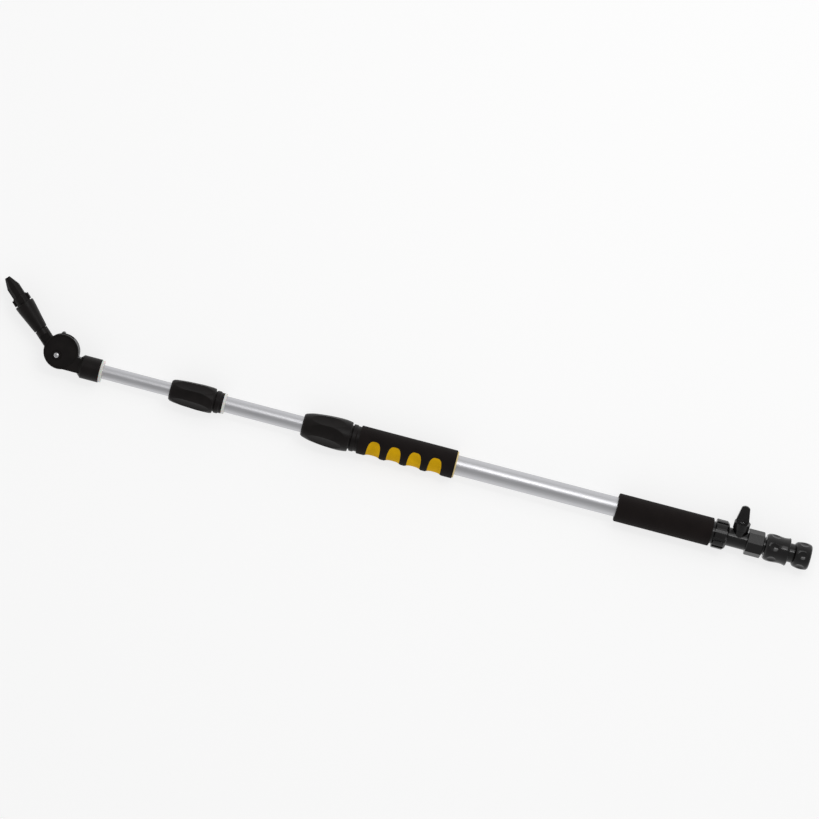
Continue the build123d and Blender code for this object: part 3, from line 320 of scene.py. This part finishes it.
def translucent_nylon(name, colour, roughness):
    """White nylon: slightly see-through, with a soft moulded skin."""
    finish = Finish(
        name, colour, roughness, Subsurface_Weight=0.25, Subsurface_Scale=0.8 * MM
    )
    skin = finish.noise(700, detail=4.0)
    finish.drive(
        "Base Color",
        finish.mix_colour(finish.ramp(skin, 0.35, 0.7), colour, lighter(colour, 0.88)),
    )
    finish.drive("Roughness", finish.ramp(skin, *WIDE_BAND, roughness - 0.05, roughness + 0.1))
    finish.bump(skin, 0.01 * MM, finish.soften_edges(0.2 * MM))
    return finish.material


FOAM_PORE = 0.55 * MM
FINISHES = {
    "satin_black": moulded_plastic(
        "satin_black",
        colour=(0.0066, 0.0050, 0.0047),
        roughness=0.42,
        shine=0.16,
        grain=0.008 * MM,
        wear=0.5,
    ),
    "gloss_black": moulded_plastic(
        "gloss_black",
        colour=(0.0036, 0.0030, 0.0032),
        roughness=0.17,
        shine=0.40,
        grain=0.0006 * MM,
        wear=0.4,
    ),
    "inner_plastic": moulded_plastic(
        "inner_plastic",
        colour=(0.045, 0.045, 0.048),
        roughness=0.45,
        shine=0.4,
        grain=0.008 * MM,
        wear=0.3,
    ),
    "white_nylon": translucent_nylon("white_nylon", colour=(0.80, 0.79, 0.75), roughness=0.4),
    "foam_black": closed_cell_foam(
        "foam_black",
        colour=(0.0088, 0.0062, 0.0058),
        roughness=0.88,
        pore=FOAM_PORE,
        sheen=0.03,
    ),
    "foam_yellow": closed_cell_foam(
        "foam_yellow",
        colour=(0.68, 0.385, 0.002),
        roughness=0.88,
        pore=FOAM_PORE,
        sheen=0.008,
        # the core is painted paler, as a painted highlight, where it sticks out past the black
        # skin
        painted_lip_station=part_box("front_grip_cover")[0].x,
    ),
    "seal_rubber": nitrile_rubber("seal_rubber", colour=(0.012, 0.012, 0.012), roughness=0.5),
    "aluminium": anodised_aluminium("aluminium", colour=(0.58, 0.58, 0.60), roughness=0.40),
    "spring_steel": turned_metal(
        "spring_steel", colour=(0.55, 0.55, 0.55), roughness=0.28, line_height=0.004 * MM
    ),
    "bright_chrome": turned_metal(
        "bright_chrome", colour=(0.72, 0.72, 0.73), roughness=0.12, line_height=0.001 * MM
    ),
    "stem_brass": turned_metal(
        "stem_brass", colour=(0.62, 0.43, 0.16), roughness=0.3, line_height=0.004 * MM
    ),
    "cast_grey": cast_metal("cast_grey", colour=(0.22, 0.22, 0.225), roughness=0.42),
}


def dress(obj, slot):
    """Gives obj one material, that of the record's slot."""
    obj.data.materials.clear()
    obj.data.materials.append(FINISHES[slot])


for part in frame["record"]["subparts"]:
    dress(frame["nodes"][part["node"]], part["material_slot"])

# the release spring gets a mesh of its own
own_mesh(frame["nodes"]["release_spring"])


# ---------------------------------------------------------------- foam grips
CREASE_ANGLE = math.radians(40)
MERGE_DISTANCE = 0.02 * MM
WEAR_WAVES_PER_METRE = 55.0


def node_radius(node):
    """Outer radius of a round node that lies along the pole."""
    low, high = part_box(node)
    return (high.z - low.z) / 2


def evenly(start, end, step):
    """Stations from start to end, about step apart."""
    count = max(1, round((end - start) / step))
    return [start + (end - start) * i / count for i in range(count + 1)]


def ring_point(x, angle, radius):
    """Point at station x on a circle round the pole; angle 0 is +Y and 90 degrees is +Z."""
    return Vector((x, radius * math.cos(angle), radius * math.sin(angle)))


def corner_drop(x, start, end, corner):
    """How far a sleeve's outer radius falls near its ends, for corners of radius corner."""
    inset = corner - min(x - start, end - x)
    return corner - math.sqrt(corner**2 - max(0.0, inset) ** 2)


def finish_mesh(name, mesh_data):
    """Makes an object from a bmesh with smooth faces and crisp creases."""
    bmesh.ops.recalc_face_normals(mesh_data, faces=mesh_data.faces)
    mesh = bpy.data.meshes.new(name)
    mesh_data.to_mesh(mesh)
    mesh_data.free()
    for polygon in mesh.polygons:
        polygon.use_smooth = True
    mesh.set_sharp_from_angle(angle=CREASE_ANGLE)
    obj = bpy.data.objects.new(name, mesh)
    bpy.context.scene.collection.objects.link(obj)
    return obj


def foam_sleeve(name, stations, segments, outer_radius, inner_radius):
    """Closed foam sleeve round the pole.

    outer_radius and inner_radius take a station and an angle. Where the outer surface dips to the
    inner one the sleeve has a window, with its edge exactly where the two meet.
    """
    mesh = bmesh.new()
    angles = [2 * math.pi * i / segments for i in range(segments)]
    outside, inside, height = {}, {}, {}
    for i, x in enumerate(stations):
        for j, angle in enumerate(angles):
            outer = outer_radius(x, angle)
            inner = inner_radius(x, angle)
            height[i, j] = outer - inner
            if height[i, j] > 0:
                outside[i, j] = mesh.verts.new(ring_point(x, angle, outer))
                inside[i, j] = mesh.verts.new(ring_point(x, angle, inner))
    crossings = {}

    def crossing(a, b):
        """The vertex where the window's edge crosses the grid edge from a to b."""
        key = (min(a, b), max(a, b))
        if key not in crossings:
            share = height[a] / (height[a] - height[b])
            x = stations[a[0]] + (stations[b[0]] - stations[a[0]]) * share
            turn = (angles[b[1]] - angles[a[1]] + math.pi) % (2 * math.pi) - math.pi
            angle = angles[a[1]] + turn * share
            crossings[key] = mesh.verts.new(ring_point(x, angle, inner_radius(x, angle)))
        return crossings[key]

    for i in range(len(stations) - 1):
        for j in range(segments):
            after = (j + 1) % segments
            corners = [(i, j), (i + 1, j), (i + 1, after), (i, after)]
            upper, lower = [], []
            for a, b in zip(corners, corners[1:] + corners[:1]):
                if height[a] > 0:
                    upper.append(outside[a])
                    lower.append(inside[a])
                if (height[a] > 0) != (height[b] > 0):
                    upper.append(crossing(a, b))
                    lower.append(crossing(a, b))
            if len(upper) > 2:
                mesh.faces.new(upper)
                mesh.faces.new(reversed(lower))
    for i in (0, len(stations) - 1):
        for j in range(segments):
            after = (j + 1) % segments
            mesh.faces.new((outside[i, j], outside[i, after], inside[i, after], inside[i, j]))
    bmesh.ops.remove_doubles(mesh, verts=mesh.verts, dist=MERGE_DISTANCE)
    return finish_mesh(name, mesh)


def hand_worn(x, angle, amount):
    """Slow unevenness of a foam sleeve's surface."""
    return amount * noise.noise(ring_point(x, angle, GRIP_R) * WEAR_WAVES_PER_METRE)


GRIP_R = node_radius("rear_grip")
TUBE_R = node_radius("outer_tube")
FOAM_CORNER = 1.3 * MM
FOAM_SEGMENTS = 160
FOAM_STEP = 0.8 * MM
FOAM_BORE_R = TUBE_R + 0.05 * MM
REAR_WEAR = 0.06 * MM

rear_low, rear_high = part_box("rear_grip")


def foam_bore(x, angle):
    """The sleeves' bore, just clear of the outer tube."""
    return FOAM_BORE_R


def rear_outer(x, angle):
    """Plain round sleeve with rounded ends."""
    drop = corner_drop(x, rear_low.x, rear_high.x, FOAM_CORNER)
    return GRIP_R - drop + hand_worn(x, angle, REAR_WEAR)


rear_foam = foam_sleeve(
    "rear_grip_foam",
    evenly(rear_low.x, rear_high.x, FOAM_STEP),
    FOAM_SEGMENTS,
    rear_outer,
    foam_bore,
)
dress(rear_foam, "foam_black")
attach(rear_foam, "grip_tube")
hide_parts("rear_grip")

# front grip: a yellow core inside a black skin, with four finger scallops cut through the skin
cover_low, cover_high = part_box("front_grip_cover")
core_low, core_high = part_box("front_grip_core")
SKIN_THICKNESS = 1.1 * MM
SKIN_R = GRIP_R - SKIN_THICKNESS
SKIN_GAP = 0.03 * MM
SKIN_CORNER = 0.9 * MM
SKIN_WEAR = 0.04 * MM
CORE_CORNER = 0.8 * MM
SCALLOP_STEP = 0.6 * MM
SCALLOP_SEGMENTS = 200
FINGER_COUNT = 4
FINGER_PITCH = 26.4 * MM
FINGER_FIRST = 20.8 * MM
FINGER_HALF_WIDTH = 10.6 * MM
FINGER_HALF_TURN = math.radians(82)
FINGER_TURN = math.radians(35)
FINGER_DEPTH = 2.3 * MM
FINGER_SQUARENESS = 3.0
finger_places = [cover_high.x - FINGER_FIRST - i * FINGER_PITCH for i in range(FINGER_COUNT)]


def scallop(x, angle):
    """Depth of the finger scallops at a place on the front grip."""
    turn = (angle - FINGER_TURN + math.pi) % (2 * math.pi) - math.pi
    depth = 0.0
    for place in finger_places:
        along = abs(x - place) / FINGER_HALF_WIDTH
        spread = along**FINGER_SQUARENESS + abs(turn / FINGER_HALF_TURN) ** FINGER_SQUARENESS
        depth = max(depth, FINGER_DEPTH * (1 - spread))
    return depth


def cover_outer(x, angle):
    """Black skin with rounded ends, cut by the scallops."""
    drop = corner_drop(x, cover_low.x, cover_high.x, SKIN_CORNER)
    return GRIP_R - drop - scallop(x, angle) + hand_worn(x, angle, SKIN_WEAR)


def cover_inner(x, angle):
    """Bore of the black skin."""
    return SKIN_R


def core_outer(x, angle):
    """Yellow core: just under the skin, and flush with the scallops where they cut deeper."""
    drop = corner_drop(x, core_low.x, core_high.x, CORE_CORNER)
    return min(SKIN_R - SKIN_GAP - drop, GRIP_R - scallop(x, angle))


cover_foam = foam_sleeve(
    "front_grip_cover_foam",
    evenly(cover_low.x, cover_high.x, SCALLOP_STEP),
    SCALLOP_SEGMENTS,
    cover_outer,
    cover_inner,
)
dress(cover_foam, "foam_black")
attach(cover_foam, "grip_tube")
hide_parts("front_grip_cover")

core_foam = foam_sleeve(
    "front_grip_core_foam",
    evenly(core_low.x, core_high.x, SCALLOP_STEP),
    SCALLOP_SEGMENTS,
    core_outer,
    foam_bore,
)
dress(core_foam, "foam_yellow")
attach(core_foam, "grip_tube")
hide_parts("front_grip_core")


# ---------------------------------------------------------------- floor, light, camera
FLOOR_HALF_WIDTH = 6.0
FLOOR_GAP = 0.5 * MM
PAPER_COLOUR = (0.32, 0.32, 0.32)
PAPER_GLOW = 0.72
WHITE = (1.0, 1.0, 1.0, 1.0)


def floor():
    """Plain pale table top that glows, so that shadows stay faint."""
    mesh = bmesh.new()
    bmesh.ops.create_grid(mesh, x_segments=1, y_segments=1, size=FLOOR_HALF_WIDTH)
    place = (cad_high.x / 2, 0, cad_low.z - FLOOR_GAP)
    bmesh.ops.translate(mesh, verts=mesh.verts, vec=place)
    top = finish_mesh("floor", mesh)
    paper = Finish("white_paper", PAPER_COLOUR, 0.8, Specular_IOR_Level=0.1)
    paper.set("Emission Color", WHITE)
    paper.set("Emission Strength", PAPER_GLOW)
    top.data.materials.append(paper.material)


def soft_light(name, place, target, width, length, power):
    """Rectangular softbox at place, facing target, its long side along the pole."""
    data = bpy.data.lights.new(name, "AREA")
    data.shape = "RECTANGLE"
    data.size = length
    data.size_y = width
    data.energy = power
    obj = bpy.data.objects.new(name, data)
    away = (place - target).normalized()
    along = Vector((1, 0, 0))
    up = away.cross(along)
    obj.matrix_world = Matrix.Translation(place) @ Matrix((along, up, away)).transposed().to_4x4()
    bpy.context.scene.collection.objects.link(obj)


def world_fill(horizon, zenith):
    """White surroundings, brightest at the horizon and dimmer overhead."""
    world = bpy.data.worlds.new("studio")
    world.use_nodes = True
    nodes, links = world.node_tree.nodes, world.node_tree.links
    direction = nodes.new("ShaderNodeTexCoord")
    split = nodes.new("ShaderNodeSeparateXYZ")
    fade = nodes.new("ShaderNodeMapRange")
    fade.interpolation_type = "SMOOTHSTEP"
    fade.inputs["To Min"].default_value = horizon
    fade.inputs["To Max"].default_value = zenith
    links.new(direction.outputs["Generated"], split.inputs["Vector"])
    links.new(split.outputs["Z"], fade.inputs["Value"])
    links.new(fade.outputs["Result"], nodes["Background"].inputs["Strength"])
    nodes["Background"].inputs["Color"].default_value = WHITE
    bpy.context.scene.world = world


floor()
world_fill(horizon=0.8, zenith=0.4)
# The lights hang over the hose end, so the tubes grow darker towards the nozzle.
LIGHT_PLACE_SHARE = 0.14
LIGHT_DISTANCE = 2.0
LIGHT_LENGTH = 1.15
KEY_TILT, KEY_WIDTH, KEY_POWER = 34, 1.0, 6.7
CORE_TILT, CORE_WIDTH, CORE_POWER = 24, 0.12, 4.0
middle = Vector((cad_high.x * LIGHT_PLACE_SHARE, 0, 0))


def overhead(tilt):
    """Place for a light above the pole, tilted by so many degrees towards -Y."""
    turn = math.radians(tilt)
    return middle + LIGHT_DISTANCE * Vector((0, -math.sin(turn), math.cos(turn)))


soft_light("key", overhead(KEY_TILT), middle, KEY_WIDTH, LIGHT_LENGTH, KEY_POWER)
soft_light("key_core", overhead(CORE_TILT), middle, CORE_WIDTH, LIGHT_LENGTH, CORE_POWER)

TARGET = Vector((0.5314, -0.0523, 0.0))
CAMERA_DISTANCE = 4.6
LEAN = math.radians(5)
PICTURE_WIDTH = 1.024
SENSOR = 36.0
CLIP_END = 50.0
POLE_TURN = math.radians(14.80)

away = Vector((0, -math.sin(LEAN), math.cos(LEAN)))
right = Vector((-math.cos(POLE_TURN), -math.sin(POLE_TURN), 0))
right = (right - right.dot(away) * away).normalized()
up = away.cross(right)
camera_data = bpy.data.cameras.new("camera")
camera_data.sensor_width = SENSOR
camera_data.lens = SENSOR * CAMERA_DISTANCE / PICTURE_WIDTH
camera_data.clip_end = CLIP_END
camera = bpy.data.objects.new("camera", camera_data)
camera.matrix_world = (
    Matrix.Translation(TARGET + CAMERA_DISTANCE * away)
    @ Matrix((right, up, away)).transposed().to_4x4()
)
bpy.context.scene.collection.objects.link(camera)
bpy.context.scene.camera = camera
bpy.context.scene.view_settings.view_transform = "Standard"
